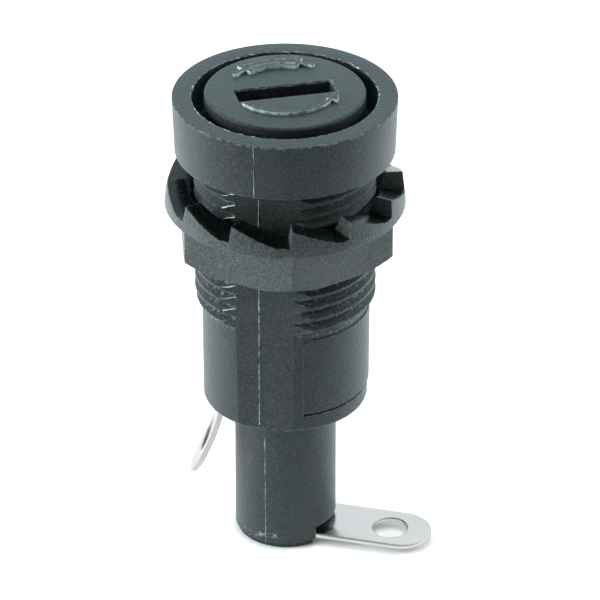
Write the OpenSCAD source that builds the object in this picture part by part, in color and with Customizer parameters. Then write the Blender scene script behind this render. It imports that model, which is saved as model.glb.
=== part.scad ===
// Panel-mount holder for a 5 x 20 mm cartridge fuse.
// +Z points out of the panel; the origin is on the axis, in the plane where the bezel meets the panel.

/* [Bezel] */
// Diameter of the bezel at its top edge
bezel_d = 15.5; // [15:0.1:17]
// Height of the bezel above the panel
bezel_h = 4.05; // [3.6:0.05:5]
// Radius that the bezel's side loses from its top edge to the panel
bezel_draft = 0.15; // [0.05:0.01:0.4]
// Wall of the bezel ring around the knob
bezel_wall = 1.37; // [1:0.01:1.5]
// Thickness of the floor under the knob
bezel_floor = 1.3; // [1:0.05:1.6]

/* [Barrel] */
// Outside diameter of the barrel's thread
thread_d = 12.6; // [12.2:0.05:13.2]
// Length of the threaded stretch below the panel
thread_len = 11.2; // [10:0.1:12]
// Height of the cone where the thread runs out
thread_runout = 0.7; // [0.4:0.05:1]
// Diameter of the plain barrel just below the thread
barrel_d = 11.6; // [11.4:0.02:12]
// Radius that the plain barrel loses down to its shoulder
barrel_draft = 0.04; // [0:0.01:0.2]
// Length of the barrel from the panel to its shoulder
barrel_len = 19.5; // [17.5:0.1:20]
// Bevel round the barrel's shoulder
barrel_bevel = 0.35; // [0.2:0.05:0.5]
// Distance across the two moulded flats
flats_across = 10.84; // [10.7:0.02:11.2]

/* [Tube] */
// Outside diameter of the narrow tube
tube_d = 7.15; // [6.9:0.05:7.4]
// Length of the narrow tube below the shoulder
tube_len = 11; // [10.5:0.1:13]
// Height of the stepped foot at the tube's end
foot_h = 0.45; // [0.3:0.05:0.6]
// Radius that the tube loses at the stepped foot
foot_step = 0.18; // [0.05:0.01:0.2]
// Thickness of the tube's floor
floor_t = 1.15; // [0.8:0.05:1.5]
// Wall round the base terminal's pocket at the stepped foot
pocket_wall = 0.5; // [0.4:0.05:0.7]

/* [Fuse] */
// Length of the cartridge over its end caps
fuse_len = 20; // [19:0.1:21]
// Outside diameter of the end caps
cap_d = 5.2; // [5:0.05:5.3]
// Length of one end cap
cap_len = 5.4; // [4.5:0.1:6]
// Sheet thickness of the end caps
cap_t = 0.22; // [0.15:0.01:0.3]
// Wall of the glass tube
glass_t = 0.5; // [0.4:0.05:0.7]
// Diameter of the fuse wire
wire_d = 0.2; // [0.1:0.02:0.3]
// Depth of the solder in each cap
solder_h = 0.8; // [0.5:0.1:1.2]

/* [Knob] */
// Diameter of the knob's head
knob_d = 11.1; // [10.6:0.05:11.4]
// Height of the knob's top above the bezel
knob_proud = 0.3; // [0:0.05:0.6]
// Bevel round the knob's top edge
knob_bevel = 0.2; // [0.1:0.05:0.4]
// Length of the screwdriver slot
slot_len = 6.7; // [5:0.1:8]
// Width of the screwdriver slot
slot_w = 1.6; // [1.2:0.05:2]
// Depth of the screwdriver slot
slot_depth = 2; // [1:0.1:2.4]
// Direction of the screwdriver slot at rest, from +X
slot_angle = 27.7; // [0:0.1:90]
// Outside diameter of the knob's skirt
skirt_d = 8.2; // [8:0.05:8.6]
// Length of the skirt below the bezel's floor
skirt_len = 7.5; // [7:0.1:8]
// Depth of the knob's solid core below the bezel's floor
core_len = 3.1; // [2.8:0.1:3.4]

/* [Bayonet] */
// Reach of each bayonet lug beyond the skirt
lug_reach = 0.62; // [0.4:0.02:0.7]
// Height of each bayonet lug
lug_h = 1.1; // [0.8:0.05:1.4]
// Angle that each bayonet lug takes up
lug_angle = 20; // [14:1:26]
// Depth of the lugs' top below the bezel's floor
lug_drop = 4.3; // [3.8:0.1:4.8]
// Turn of the knob from the entry groove to the locked end
lock_turn = 60; // [45:1:75]

/* [Contacts] */
// Sheet thickness of the two solder tags
tag_t = 0.4; // [0.3:0.05:0.5]
// Width of the two solder tags
tag_w = 4.4; // [4:0.1:5.2]
// Distance from the axis to the centre of the base tag's round end
tag_reach = 8.45; // [7:0.05:9]
// Diameter of the wire hole in each tag
tag_hole_d = 2.5; // [1.5:0.1:3]
// Distance from the wire hole to the centre of the tag's round end
tag_hole_back = 0.75; // [0:0.05:1]
// Height of the relief above the base tag where it leaves the tube
notch_h = 0.6; // [0.3:0.05:0.8]
// Gap between the tube and the side tag
side_gap = 0.6; // [0.4:0.05:0.7]
// Direction of the side tag from -X, towards -Y
side_angle = 12; // [0:1:20]
// Straight run of the side tag below the shoulder
side_drop = 0.3; // [0.1:0.05:0.6]
// Angle of the side tag's first bend
side_bend = 12; // [6:1:16]
// Radius of the side tag's first bend
side_bend_r = 1.5; // [1:0.1:2]
// Angle of the side tag's long flare beyond the bend
side_flare = 18; // [14:1:22]
// Radius of the side tag's long flare
side_flare_r = 20; // [18:0.5:24]
// Width of the side tag's spring tongue inside the barrel
tongue_w = 2.4; // [1.6:0.1:3]
// Depth below the clip at which the spring tongue starts
tongue_drop = 2.3; // [1.8:0.1:3]
// Sheet thickness of the fuse clip
clip_t = 0.3; // [0.2:0.05:0.4]
// Length of the fuse clip below the knob's core
clip_len = 6.9; // [6.5:0.1:7.5]
// Width of the slits between the clip's fingers
clip_slit = 0.8; // [0.4:0.05:1.2]
// Number of the clip's fingers
clip_fingers = 4; // [2:1:6]

/* [Rivets and spring] */
// Diameter of both rivets' shanks
rivet_d = 1.5; // [1.2:0.05:1.8]
// Diameter of the clip rivet's head and of the base rivet's lower head
rivet_head_d = 2.8; // [2.4:0.1:3.2]
// Thickness of the clip rivet's head and of the base rivet's lower head
rivet_head_t = 0.25; // [0.2:0.05:0.35]
// Depth of the base rivet's lower head inside the tube's end
foot_clear = 0.17; // [0.05:0.01:0.3]
// Length of the clip rivet's shank inside the knob's core
rivet_grip = 2.6; // [2:0.1:3]
// Diameter of the base rivet's upper flange, the spring's seat
seat_d = 4.9; // [4.6:0.1:5.2]
// Thickness of the base rivet's upper flange
seat_t = 0.3; // [0.2:0.05:0.4]
// Diameter of the spring's wire
spring_wire_d = 0.45; // [0.3:0.05:0.5]
// Mean diameter of the spring's coils
spring_d = 4.2; // [4:0.05:4.4]
// Number of coils of the spring
spring_turns = 5; // [3:0.5:6]
// Diameter of the plunger's flange
plunger_d = 5.1; // [4.9:0.05:5.3]
// Thickness of the plunger's flange
plunger_t = 0.5; // [0.3:0.05:0.7]
// Diameter of the plunger's guide inside the spring
guide_d = 3; // [2.6:0.1:3.2]
// Length of the plunger's guide
guide_len = 1.2; // [0.8:0.1:1.6]

/* [Nut] */
// Distance across the nut's flats
nut_af = 14.3; // [14.2:0.02:15]
// Distance from the panel face to the tips of the nut's teeth
nut_drop = 2.2; // [2.1:0.05:3]
// Height of the nut from its teeth's tips to its lower face
nut_h = 5; // [4:0.1:5.5]
// Height of the round crown, teeth included
crown_h = 1.9; // [1.6:0.05:2.4]
// Radius by which the round crown stands past the nut's corners
crown_lip = 0.08; // [0.02:0.01:0.15]
// Radius that the round crown loses up to the teeth's tips
crown_taper = 0.22; // [0.1:0.01:0.3]
// Height of the ratchet teeth
tooth_h = 1.2; // [0.6:0.01:1.3]
// Number of ratchet teeth
tooth_count = 12; // [8:1:16]
// Share of each tooth's pitch that its ramp takes up
tooth_ramp = 0.73; // [0.5:0.01:0.8]
// Lean of each tooth's steep face
tooth_rake = 8; // [2:1:12]
// Radius that the bore's countersink gains at the teeth's tips
sink_reach = 0.55; // [0.3:0.05:0.8]
// Depth of the bore's countersink below the land between the teeth
sink_below = 0.15; // [0.1:0.05:0.4]
// Radius that the lower bevel takes off the nut's corners
nut_bevel_w = 0.85; // [0.6:0.05:1]
// Height of the lower bevel at the nut's corners
nut_bevel_h = 0.65; // [0.4:0.05:0.9]
// Direction of one of the nut's corners at rest, from +X
nut_angle = -11.6; // [-30:0.1:30]

/* [Clearances] */
// Gap round the caps in the tube
fuse_clear = 0.25; // [0.15:0.01:0.3]
// Gap round the knob's skirt in the barrel
skirt_clear = 0.15; // [0.1:0.01:0.2]
// Gap between the lugs and their grooves
lug_clear = 0.12; // [0.08:0.01:0.15]
// Gap round the thread in the nut
nut_clear = 0.08; // [0.04:0.01:0.1]
// Gap between faces that touch in use, such as a cap on its contact
contact_gap = 0.04; // [0.02:0.01:0.06]
// Gap round rivets, tags and caps that are pressed in place
seat_gap = 0.02; // [0.01:0.005:0.03]

/* [Hidden] */
$fn = 96;

// Length by which a cutting shape runs past the face that it opens
over = 0.5;
// Segments in each turn of the spring and sides of its wire
spring_steps = 16;
spring_sides = 8;
// Segments along the side tag's bend and its flare
bend_steps = 4;
flare_steps = 9;

// Radii
bezel_r = bezel_d / 2;
recess_r = bezel_r - bezel_wall;
thread_r = thread_d / 2;
barrel_r = barrel_d / 2;
tube_r = tube_d / 2;
cap_r = cap_d / 2;
glass_r = cap_r - cap_t - seat_gap;
glass_bore_r = glass_r - glass_t;
fuse_bore_r = cap_r + fuse_clear;
knob_r = knob_d / 2;
skirt_r = skirt_d / 2;
carrier_bore_r = skirt_r + skirt_clear;
lug_r = skirt_r + lug_reach;
groove_r = lug_r + lug_clear;
clip_bore_r = cap_r + contact_gap;
clip_r = clip_bore_r + clip_t;
skirt_bore_r = clip_r + skirt_clear;
rivet_r = rivet_d / 2;
rivet_hole_r = rivet_r + seat_gap;
pocket_r = tube_r - foot_step - pocket_wall;
nut_corner_r = nut_af / 2 / cos(30);
crown_r = nut_corner_r + crown_lip;
nut_bore_r = thread_r + nut_clear;

// Heights above the panel, from the top down
knob_top = bezel_h + knob_proud;
core_low = bezel_floor - core_len;
skirt_low = bezel_floor - skirt_len;
lug_top = bezel_floor - lug_drop;
clip_low = core_low - clip_len;
clip_base_low = core_low - clip_t;
fuse_top = clip_base_low - rivet_head_t - contact_gap;
fuse_low = fuse_top - fuse_len;
plunger_top = fuse_low - contact_gap;
plunger_low = plunger_top - plunger_t;
barrel_low = -barrel_len;
tube_low = barrel_low - tube_len;
rivet_low = tube_low + foot_clear;
base_tag_low = rivet_low + rivet_head_t;
base_tag_top = base_tag_low + tag_t;
floor_low = base_tag_top;
floor_top = floor_low + floor_t;
seat_top = floor_top + seat_t;
nut_tip = -nut_drop;
nut_low = nut_tip - nut_h;
nut_land = nut_tip - tooth_h;
crown_low = nut_tip - crown_h;

// The side tag stands beside the tube; its tongue meets the clip between the skirt and the clip's end
side_x = tube_r + side_gap + tag_t / 2;
tongue_touch = (skirt_low + clip_low) / 2;
tongue_touch_x = clip_r + contact_gap + tag_t / 2;
tongue_tip = skirt_low - skirt_clear;
carrier_bore_low = clip_low - tongue_drop;

// Box that spans the part sideways, for cuts by a plane
wide = 4 * bezel_r;

// Solid of revolution about the part's axis
module revolve(outline) {
    rotate_extrude() polygon(outline);
}

// Part of a ring between two radii and two heights, over an angle
module ring_sector(r_in, r_out, low, high, from, sweep) {
    rotate([0, 0, from])
        rotate_extrude(angle = sweep)
            translate([r_in, low])
                square([r_out - r_in, high - low]);
}

// Round bar between two heights on the part's axis
module bar(r, low, high) {
    translate([0, 0, low]) cylinder(r = r, h = high - low);
}

// Sheet strip in X and Z along centre points, each with the slope of the sheet's normal below level
module strip(path, width) {
    half = [for (p = path) [cos(p.z), -sin(p.z)] * tag_t / 2];
    outline = concat(
        [for (i = [0 : len(path) - 1]) [path[i].x, path[i].y] + half[i]],
        [for (i = [len(path) - 1 : -1 : 0]) [path[i].x, path[i].y] - half[i]]
    );
    rotate([90, 0, 0])
        linear_extrude(width, center = true)
            polygon(outline);
}

// Centre points of a strip along an arc between two slopes
function arc_path(centre, radius, from, to, steps) = [
    for (i = [0 : steps])
        let (slope = from + (to - from) * i / steps)
        [centre.x + radius * cos(slope), centre.y - radius * sin(slope), slope]
];

// Moulded body: bezel, threaded barrel with two flats, plain barrel and narrow tube
module holder_body() {
    color("#26292b") difference() {
        union() {
            revolve([
                [0, 0],
                [bezel_r - bezel_draft, 0],
                [bezel_r, bezel_h],
                [0, bezel_h]
            ]);
            intersection() {
                revolve([
                    [0, over],
                    [thread_r, over],
                    [thread_r, -thread_len],
                    [barrel_r, -thread_len - thread_runout],
                    [barrel_r - barrel_draft, barrel_low + barrel_bevel],
                    [barrel_r - barrel_draft - barrel_bevel, barrel_low],
                    [0, barrel_low]
                ]);
                translate([-wide / 2, -flats_across / 2, barrel_low])
                    cube([wide, flats_across, barrel_len + over]);
            }
            bar(tube_r, tube_low + foot_h, barrel_low + over);
            bar(tube_r - foot_step, tube_low, barrel_low);
        }
        bar(recess_r, bezel_floor, bezel_h + over);
        bar(carrier_bore_r, carrier_bore_low, bezel_floor + over);
        bar(fuse_bore_r, floor_top, carrier_bore_low + over);
        bar(rivet_hole_r, tube_low - over, floor_top + over);
        bayonet_grooves();
        side_terminal_slot();
        base_terminal_pocket();
    }
}

// Two entry grooves from the bezel's floor, each with a track to its locked end
module bayonet_grooves() {
    slack = 2 * asin(lug_clear / lug_r);
    groove_angle = lug_angle + 2 * slack;
    groove_low = lug_top - lug_h - lug_clear;
    for (side = [0, 180]) {
        ring_sector(carrier_bore_r - over, groove_r, groove_low, bezel_floor + over,
            side - groove_angle / 2, groove_angle);
        ring_sector(carrier_bore_r - over, groove_r, groove_low, lug_top + lug_clear,
            side - groove_angle / 2 - lock_turn, groove_angle + lock_turn);
    }
}

// Slot that the side terminal stands in, with the window that its tongue takes into the carrier's bore
module side_terminal_slot() {
    slot_t = tag_t + 2 * seat_gap;
    slot_width = tag_w + 2 * seat_gap;
    window_w = tongue_w + 2 * skirt_clear;
    window_low = carrier_bore_low + tongue_drop / 4;
    rotate([0, 0, side_angle]) {
        translate([-side_x - slot_t / 2, -slot_width / 2, barrel_low - over])
            cube([slot_t, slot_width, tongue_tip - barrel_low + over]);
        translate([-side_x, -window_w / 2, window_low])
            cube([side_x - tongue_touch_x, window_w, tongue_touch - window_low]);
    }
}

// Pocket under the tube's floor for the base terminal, with the notch where the tag leaves
module base_terminal_pocket() {
    notch_w = tag_w + 2 * seat_gap;
    bar(pocket_r, tube_low - over, floor_low);
    translate([0, -notch_w / 2, tube_low - over])
        cube([wide / 2, notch_w, floor_low - tube_low + over]);
    translate([pocket_r - over, -notch_w / 2, tube_low])
        cube([wide / 2, notch_w, floor_low - tube_low + notch_h]);
}

// Hexagon nut with a round crown of ratchet teeth on its upper face
module hex_nut() {
    bevel_slope = nut_bevel_h / nut_bevel_w;
    bevel_r = crown_r + over;
    sink_slope = sink_reach / (nut_tip - nut_land + sink_below);
    nut_low_r = nut_corner_r - nut_bevel_w;
    color("#2b2e30") rotate([0, 0, nut_angle]) difference() {
        union() {
            intersection() {
                translate([0, 0, nut_low])
                    cylinder(r = nut_corner_r, h = crown_low - nut_low, $fn = 6);
                revolve([
                    [0, nut_low],
                    [nut_low_r, nut_low],
                    [bevel_r, nut_low + (bevel_r - nut_low_r) * bevel_slope],
                    [bevel_r, crown_low],
                    [0, crown_low]
                ]);
            }
            nut_crown();
        }
        revolve([
            [0, nut_low - over],
            [nut_bore_r, nut_low - over],
            [nut_bore_r, nut_land - sink_below],
            [nut_bore_r + sink_reach + over * sink_slope, nut_tip + over],
            [0, nut_tip + over]
        ]);
    }
}

// Round crown of the nut: a land with ratchet teeth on it, inside one slightly tapered outline
module nut_crown() {
    taper_slope = crown_taper / crown_h;
    intersection() {
        revolve([
            [0, crown_low],
            [crown_r, crown_low],
            [crown_r - crown_taper - over * taper_slope, nut_tip + over],
            [0, nut_tip + over]
        ]);
        union() {
            bar(crown_r + over, crown_low - over, nut_land);
            for (i = [0 : tooth_count - 1])
                rotate([0, 0, i * 360 / tooth_count]) ratchet_tooth();
        }
    }
}

// One ratchet tooth, drawn across the radius: a steep face, then a ramp down through the land
module ratchet_tooth() {
    ramp_len = crown_r * tooth_ramp * 2 * PI / tooth_count;
    sunk_h = tooth_h + over / 2;
    sunk_len = ramp_len * sunk_h / tooth_h;
    foot = nut_tip - sunk_h;
    rotate([90, 0, 90])
        translate([0, 0, nut_bore_r / 2])
            linear_extrude(crown_r)
                polygon([[0, nut_tip], [-sunk_h * tan(tooth_rake), foot], [sunk_len, foot]]);
}

// Knob of the fuse carrier: slotted head, skirt and two bayonet lugs
module carrier_knob() {
    head_low = bezel_floor + contact_gap;
    color("#222527") difference() {
        union() {
            revolve([
                [0, core_low],
                [skirt_bore_r, core_low],
                [skirt_bore_r, skirt_low],
                [skirt_r, skirt_low],
                [skirt_r, head_low],
                [knob_r, head_low],
                [knob_r, knob_top - knob_bevel],
                [knob_r - knob_bevel, knob_top],
                [0, knob_top]
            ]);
            for (side = [0, 180])
                ring_sector(skirt_bore_r + over, lug_r, lug_top - lug_h, lug_top,
                    side - lug_angle / 2, lug_angle);
        }
        rotate([0, 0, slot_angle])
            translate([-slot_len / 2, -slot_w / 2, knob_top - slot_depth])
                cube([slot_len, slot_w, slot_depth + over]);
        bar(rivet_hole_r, core_low - over, core_low + rivet_grip);
    }
}

// Spring clip in the knob that grips the upper cap: a base and a sleeve slit into fingers
module carrier_clip() {
    lip = clip_t / 2;
    color("#d8c48a") difference() {
        revolve([
            [rivet_hole_r, core_low],
            [clip_r, core_low],
            [clip_r, clip_low],
            [clip_r - lip, clip_low],
            [clip_bore_r, clip_low + clip_t],
            [clip_bore_r, clip_base_low],
            [rivet_hole_r, clip_base_low]
        ]);
        for (i = [0 : clip_fingers - 1])
            rotate([0, 0, (i + 0.5) * 360 / clip_fingers])
                translate([clip_bore_r / 2, -clip_slit / 2, clip_low - over])
                    cube([clip_r, clip_slit, clip_base_low - clip_t - clip_low + over]);
    }
}

// Rivet that holds the clip under the knob's core
module clip_rivet() {
    color("#c9ccce") union() {
        bar(rivet_r, clip_base_low - rivet_head_t, core_low + rivet_grip - seat_gap);
        bar(rivet_head_d / 2, clip_base_low - rivet_head_t, clip_base_low);
    }
}

// Glass tube of the cartridge fuse
module fuse_glass() {
    color("#cfe3e6", 0.4) difference() {
        bar(glass_r, fuse_low + cap_t, fuse_top - cap_t);
        bar(glass_bore_r, fuse_low, fuse_top);
    }
}

// End cap of the fuse, drawn with its closed end at the given height and its skirt below or above
module fuse_cap(closed_z, toward) {
    translate([0, 0, closed_z]) mirror([0, 0, toward > 0 ? 0 : 1]) difference() {
        bar(cap_r, 0, cap_len);
        bar(glass_r + seat_gap, cap_t, cap_len + over);
    }
}

module fuse_cap_upper() {
    color("#d5d6d4") fuse_cap(fuse_top, -1);
}

module fuse_cap_lower() {
    color("#d5d6d4") fuse_cap(fuse_low, 1);
}

// Solder that fills the end of the glass in each cap
module fuse_solder() {
    solder_r = glass_bore_r - seat_gap;
    color("#b9bcbd") {
        bar(solder_r, fuse_low + cap_t, fuse_low + cap_t + solder_h);
        bar(solder_r, fuse_top - cap_t - solder_h, fuse_top - cap_t);
    }
}

// Fuse wire between the two beds of solder
module fuse_wire() {
    color("#c88a4a")
        bar(wire_d / 2, fuse_low + cap_t + solder_h, fuse_top - cap_t - solder_h);
}

// Side terminal: a strip in the barrel's wall, a spring tongue to the clip and a flared solder tag
module side_terminal() {
    bend_c = [-side_x - side_bend_r, barrel_low - side_drop];
    radial = [cos(side_bend), -sin(side_bend)];
    flare_c = bend_c + (side_bend_r - side_flare_r) * radial;
    flare_end = side_bend + side_flare;
    round_at = flare_end - tag_w / 2 / side_flare_r * 180 / PI;
    tongue = [
        [-side_x, carrier_bore_low, 0],
        [-side_x, (carrier_bore_low + clip_low) / 2, 0],
        [-tongue_touch_x, tongue_touch, 0],
        [-(tongue_touch_x + side_x) / 2, tongue_tip, 0]
    ];
    tag = concat(
        [[-side_x, carrier_bore_low, 0]],
        arc_path(bend_c, side_bend_r, 0, side_bend, bend_steps),
        arc_path(flare_c, side_flare_r, side_bend + side_flare / flare_steps, flare_end, flare_steps - 1)
    );
    color("#cfd2d3") rotate([0, 0, side_angle]) {
        strip(tongue, tongue_w);
        intersection() {
            strip(tag, tag_w + 2 * over);
            translate([flare_c.x, 0, flare_c.y])
                rotate([0, 90 + round_at, 0])
                    linear_extrude(2 * side_flare_r)
                        tag_outline(-2 * side_flare_r);
        }
    }
}

// Solder tag from a given X to its round end about the origin, with its wire hole
module tag_outline(from) {
    difference() {
        union() {
            translate([from, -tag_w / 2]) square([-from, tag_w]);
            circle(d = tag_w);
        }
        translate([-tag_hole_back, 0]) circle(d = tag_hole_d);
    }
}

// Base terminal: a disc in the tube's pocket and a solder tag with a round end
module base_terminal() {
    color("#cfd2d3") translate([0, 0, base_tag_low]) linear_extrude(tag_t) difference() {
        union() {
            circle(r = pocket_r - seat_gap);
            translate([tag_reach, 0]) tag_outline(-tag_reach);
        }
        circle(r = rivet_hole_r);
    }
}

// Rivet through the base terminal and the tube's floor, with the spring's seat on top
module base_rivet() {
    color("#c9ccce") union() {
        bar(rivet_head_d / 2, rivet_low, base_tag_low);
        bar(rivet_r, rivet_low, seat_top);
        bar(seat_d / 2, floor_top, seat_top);
    }
}

// Contact plunger: flange under the fuse and a guide inside the spring
module contact_plunger() {
    color("#d9c069") union() {
        bar(plunger_d / 2, plunger_low, plunger_top);
        bar(guide_d / 2, plunger_low - guide_len, plunger_low);
    }
}

// Coil spring between its seat and the plunger, swept along a helix
module contact_spring() {
    wire_r = spring_wire_d / 2;
    low = seat_top + wire_r + seat_gap;
    rise = plunger_low - seat_top - 2 * (wire_r + seat_gap);
    rings = spring_turns * spring_steps;
    points = [
        for (i = [0 : rings], j = [0 : spring_sides - 1])
            let (
                turn = i * 360 / spring_steps,
                around = j * 360 / spring_sides,
                r = spring_d / 2 + wire_r * cos(around)
            )
            [r * cos(turn), r * sin(turn), low + rise * i / rings + wire_r * sin(around)]
    ];
    sides = [
        for (i = [0 : rings - 1], j = [0 : spring_sides - 1])
            let (next = (j + 1) % spring_sides)
            [
                i * spring_sides + j,
                (i + 1) * spring_sides + j,
                (i + 1) * spring_sides + next,
                i * spring_sides + next
            ]
    ];
    first_end = [for (j = [0 : spring_sides - 1]) j];
    last_end = [for (j = [spring_sides - 1 : -1 : 0]) rings * spring_sides + j];
    color("#9da3a6") polyhedron(points, concat(sides, [first_end, last_end]));
}

holder_body();
hex_nut();
carrier_knob();
carrier_clip();
clip_rivet();
fuse_glass();
fuse_cap_upper();
fuse_cap_lower();
fuse_wire();
fuse_solder();
side_terminal();
base_terminal();
base_rivet();
contact_spring();
contact_plunger();
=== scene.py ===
"""Looks of a panel-mount cartridge fuse holder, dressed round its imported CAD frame."""

import random
from math import asin, atan2, ceil, cos, degrees, pi, radians, remainder, sin, sqrt, tan, tau

import bmesh
import bpy
import numpy as np
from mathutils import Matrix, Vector, noise


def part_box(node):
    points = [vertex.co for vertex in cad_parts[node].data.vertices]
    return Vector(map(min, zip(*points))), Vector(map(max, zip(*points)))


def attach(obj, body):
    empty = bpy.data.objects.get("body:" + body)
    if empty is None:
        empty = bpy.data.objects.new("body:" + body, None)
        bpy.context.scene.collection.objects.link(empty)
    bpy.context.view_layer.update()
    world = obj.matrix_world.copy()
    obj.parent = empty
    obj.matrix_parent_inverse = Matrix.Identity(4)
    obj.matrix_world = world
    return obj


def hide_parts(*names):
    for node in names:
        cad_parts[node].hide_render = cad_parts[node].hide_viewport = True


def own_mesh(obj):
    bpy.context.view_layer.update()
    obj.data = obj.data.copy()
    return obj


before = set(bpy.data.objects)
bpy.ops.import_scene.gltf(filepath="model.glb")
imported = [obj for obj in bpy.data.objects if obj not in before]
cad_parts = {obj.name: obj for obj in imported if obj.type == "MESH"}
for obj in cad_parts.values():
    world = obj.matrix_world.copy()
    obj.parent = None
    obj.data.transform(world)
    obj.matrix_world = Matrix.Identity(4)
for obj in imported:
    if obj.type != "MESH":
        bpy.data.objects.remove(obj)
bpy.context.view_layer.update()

# Sizes are in millimetres, and meshes are scaled to metres as they are made
MM = 0.001
UP = Vector((0, 0, 1))


def box_mm(node):
    """Lowest and highest corner of a CAD node at rest, in millimetres."""
    low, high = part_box(node)
    return Vector(low) / MM, Vector(high) / MM


# Mesh fineness
ARC_STEPS = 64  # columns in each round side of the barrel
FLAT_STEPS = 16  # columns in each flat of the barrel
COLUMNS = 2 * (ARC_STEPS + FLAT_STEPS)
ROUND_COLUMNS = 96  # columns of the smaller turned pieces
KNOB_COLUMNS = 128
RIVET_COLUMNS = 64
SOLDER_COLUMNS = 48
PANEL_STEPS = 48
RIM_STEPS = 90
COIL_STEPS = 40  # points in each turn of the spring
WIRE_STEPS = 32
FILLET_TURN = 12.0  # degrees between the points of a rounded corner
ARC_TURN = 3.0  # degrees between the points of a drawn arc
SHARP_TURN = 15.0  # degrees between faces from which an edge is drawn sharp
CHIP_TURN = 25.0  # the same for torn chips
SOFT_TURN = 40.0  # the same for pieces with rounded edges
FLASH_TURN = 60.0  # the same for flash
BEVEL_TURN = 28.0  # degrees between faces from which an edge is rounded
WELD = 0.0004  # points closer than this are one
SLIVER = WELD / 4  # edges shorter than this are dissolved
CUT_PAST = 0.5  # how far a cutter reaches past what it cuts
LEVEL = 0.8  # a face counts as level where its normal rises more than this
STEEP = 0.9  # a wire counts as upright where it rises more than this

# Holder body, with its overall sizes from the frame
body_low, body_high = box_mm("holder_body")
BEZEL_R = body_high.x
BEZEL_H = body_high.z
BEZEL_DRAFT = 0.15
BEZEL_WALL = 1.37
BEZEL_FLOOR = 1.3
BEZEL_EDGE = 0.07
INNER_EDGE = 0.1
RECESS_R = BEZEL_R - BEZEL_WALL
THREAD_R = 6.3
THREAD_PITCH = 0.9
THREAD_PHASE = 0.25
THREAD_LEAD_IN = 0.15
THREAD_RUNOUT = 0.7
THREAD_LOW = -11.9
BARREL_R = 5.8
BARREL_DRAFT = 0.04
BARREL_LOW = -19.5
BARREL_EDGE = 0.33
SHOULDER_FILLET = 0.15
FLAT = 5.42
TUBE_R = 3.575
TUBE_LOW = body_low.z
FOOT_H = 0.45
FOOT_STEP = 0.18
FOOT_STEP_EDGE = 0.06
FOOT_EDGE = 0.12
CARRIER_BORE_R = 4.25
CARRIER_BORE_LOW = -11.0
FUSE_BORE_R = 2.85
POCKET_R = 2.895
POCKET_EDGE = 0.05
FLOOR_LOW = -29.68
FLOOR_TOP = -28.53
RIVET_HOLE_R = 0.77
GROOVE_R = 4.84
GROOVE_ANGLE = 25.8
GROOVE_TOP = -2.88
GROOVE_LOW = -4.22
LOCK_TURN = 60.0
TRACK_STEP = 0.01  # the track ends inside the entry groove, so that no faces coincide
TRACK_TURN = 0.5
SIDE_SLOT_TOP = -6.35
NOTCH_TOP = -29.08

# One pitch of the thread: share of the pitch and share of the depth
THREAD_FORM = (
    (0.00, 0.00), (0.05, 0.00), (0.10, 0.10), (0.36, 0.88), (0.40, 0.97), (0.44, 1.00),
    (0.56, 1.00), (0.60, 0.97), (0.64, 0.88), (0.90, 0.10), (0.95, 0.00),
)

# Solder tags
base_low, base_high = box_mm("base_terminal")
TAG_W = 4.4
TAG_T = base_high.z - base_low.z
TAG_EDGE = 0.11
TAG_REACH = base_high.x - TAG_W / 2
TAG_HOLE_R = 1.25
TAG_HOLE_BACK = 0.75
TAG_GAP = 0.02
SIDE_X = 4.375
SIDE_ANGLE = 12.0
SIDE_DROP = 0.3
SIDE_BEND = 12.0
SIDE_BEND_R = 1.5
SIDE_FLARE = 18.0
SIDE_FLARE_R = 20.0
SIDE_KNEE_R = 0.6
BEND_STEPS = 8
FLARE_STEPS = 24
SIDE_TWIST = 4.0
TONGUE_W = 2.4
TONGUE_X = 3.18
TONGUE_TOUCH = -7.45
TONGUE_R = 0.4
NECK_R = 0.1
WINDOW_W = 2.7
WINDOW_LOW = -10.425

# Label panel, parting lines and gate scar
PANEL_ANGLE = 63.5
PANEL_TOP = -12.1
PANEL_LOW = -18.05
PANEL_H = 0.10
PANEL_SINK = 0.12
PANEL_EDGE = 0.09
PANEL_CORNER = 0.5
PANEL_GROOVE = 0.2
GROOVE_INSET = 1.0  # degrees from the panel's ends to its groove's
GROOVE_LAP = 0.03
SEAM_W = 0.13
SEAM_H = 0.06
SEAM_SINK = 0.05
SEAM_STEP = 0.12
SEAM_SWINGS = (1.1, 0.8, 0.03)  # how far height and width change, as shares, and how far the line wanders
SEAM_PACES = (2.1, 3.0)  # changes of the width and of the line to the millimetre
FLAT_SEAM = -0.42
BEZEL_SEAM = -91.0
TUBE_SEAM = -99.4
TUBE_SEAM_LEAN = 1.4
JOG_TURN = 7.0
JOG_TOP = 0.1
JOG_LOW = 0.6
RIM_LEVEL = 0.0
RIM_PACE = 2.6
FLASH_LEVEL = 0.9
FLASH_INSET = 0.1
FLASH_LIFTS = (0.05, 0.36)
SCAR_START = -128.0
SCAR_END = -83.0
SCAR_LOW = -29.82
SCAR_RISE = 0.32
SCAR_SPREAD = (-0.12, 0.28)
SCAR_SIZE = (0.10, 0.26)
SCAR_HEIGHT = (0.03, 0.09)
SCAR_SINK = 0.03
SCAR_CHIPS = 34
SCAR_SEED = 11
CHIP_CROWDING = 0.7  # a power below one crowds the chips towards the scar's end
CHIP_SIDES = (5, 7)
CHIP_REACH = (0.6, 1.25)
CHIP_SQUAT = 0.6
CHIP_PEAK = 0.3

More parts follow.
